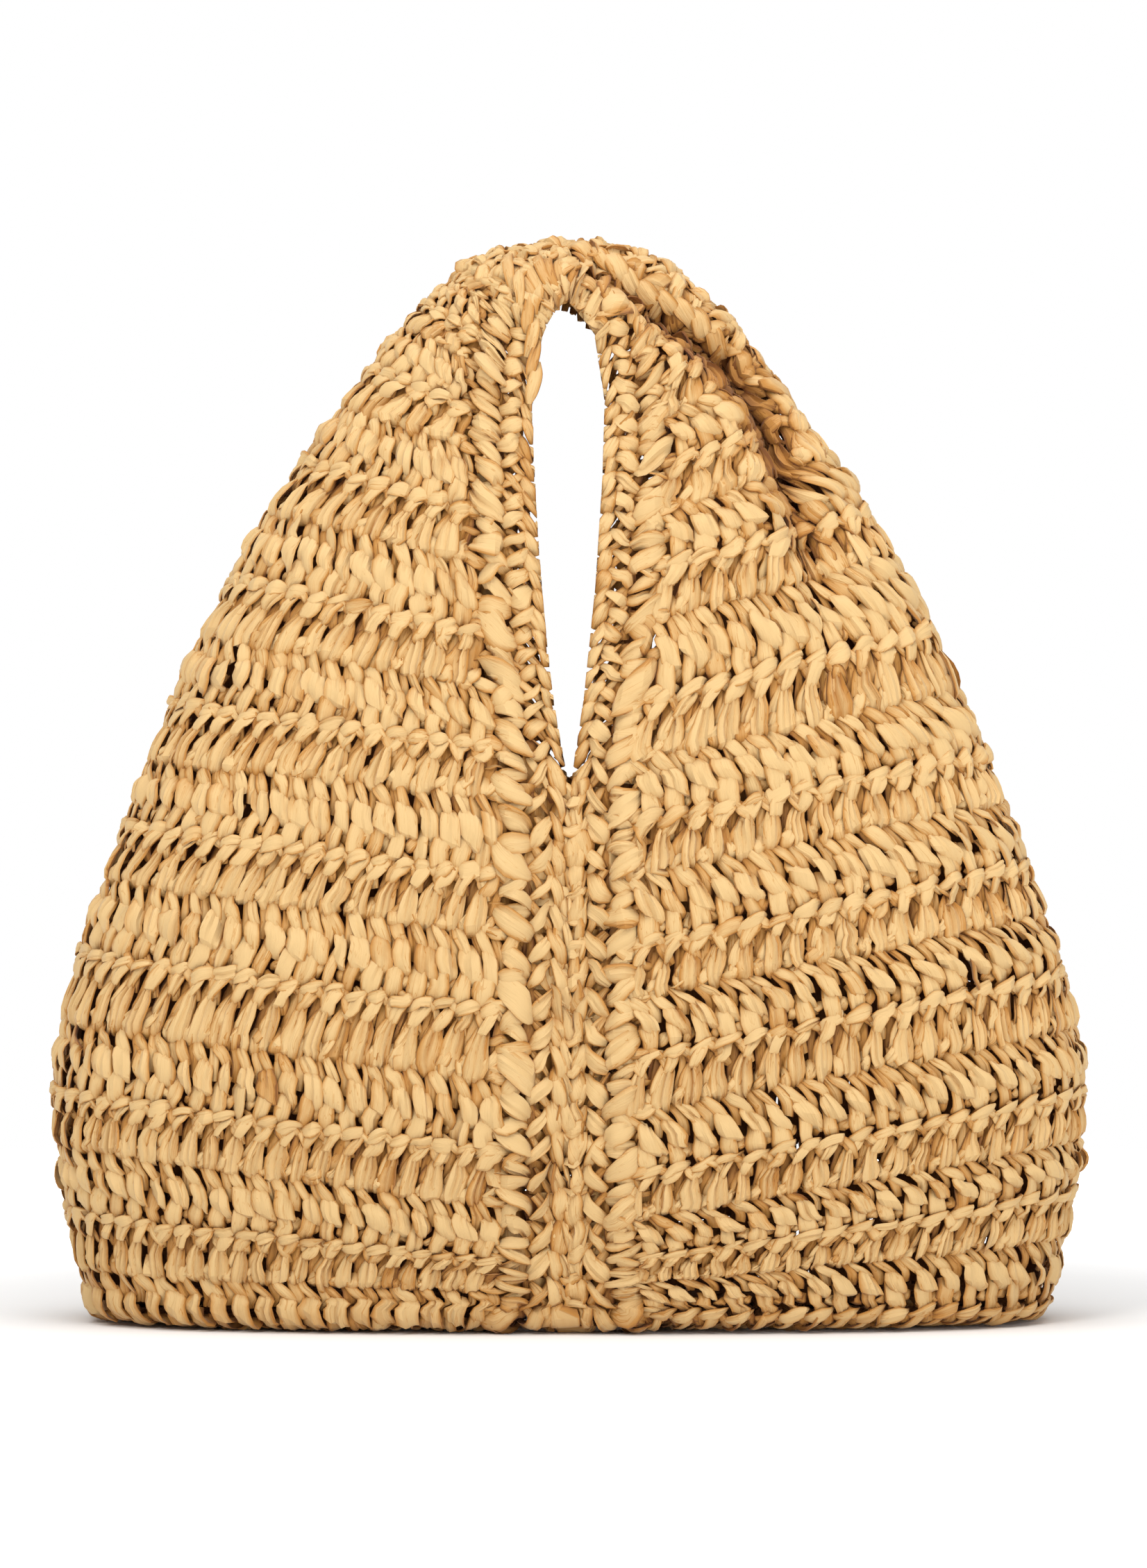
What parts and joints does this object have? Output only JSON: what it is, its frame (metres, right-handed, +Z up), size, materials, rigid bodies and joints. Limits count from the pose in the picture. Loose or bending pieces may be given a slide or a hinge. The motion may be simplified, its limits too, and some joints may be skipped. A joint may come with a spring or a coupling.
{
  "type": "hobo bag",
  "caption": "Crocheted paper-raffia shoulder bag: two side panels joined by a centre seam rise into tongues that meet as the strap over an open slot.",
  "frame": {"origin": "middle of the flat underside that the bag stands on", "axes": "+X to the bag's right as seen from the front, +Z up, -Y towards the front; front and back seams lie on X = 0"},
  "size_m": [0.45, 0.1674, 0.4761],
  "materials": {
    "raffia_panel": "matte crocheted paper ribbon with a faint sheen along its pleats",
    "raffia_border": "matte crocheted paper ribbon, tighter single crochet",
    "raffia_lacing": "matte twisted paper ribbon",
    "raffia_base": "matte crocheted paper ribbon"
  },
  "bodies": {
    "bag_body": {"panel_left": "raffia_panel", "panel_right": "raffia_panel", "seam_border_front_left": "raffia_border", "seam_border_front_right": "raffia_border", "seam_border_back_left": "raffia_border", "seam_border_back_right": "raffia_border", "seam_lacing_front": "raffia_lacing", "seam_lacing_back": "raffia_lacing", "slot_tack_front": "raffia_lacing", "slot_tack_back": "raffia_lacing", "base_edge": "raffia_base", "base_panel": "raffia_base"},
    "strap": {"tongue_left": "raffia_panel", "tongue_right": "raffia_panel", "slot_edging_front_left": "raffia_border", "slot_edging_front_right": "raffia_border", "slot_edging_back_left": "raffia_border", "slot_edging_back_right": "raffia_border", "crown_wrap": "raffia_border"}
  },
  "joints": [
    {"name": "strap_fold", "type": "hinge", "parent": "bag_body", "child": "strap", "pos_m": [0, 0, 0.335], "axis": [1, 0, 0], "range_deg": [-45, 45]}
  ]
}
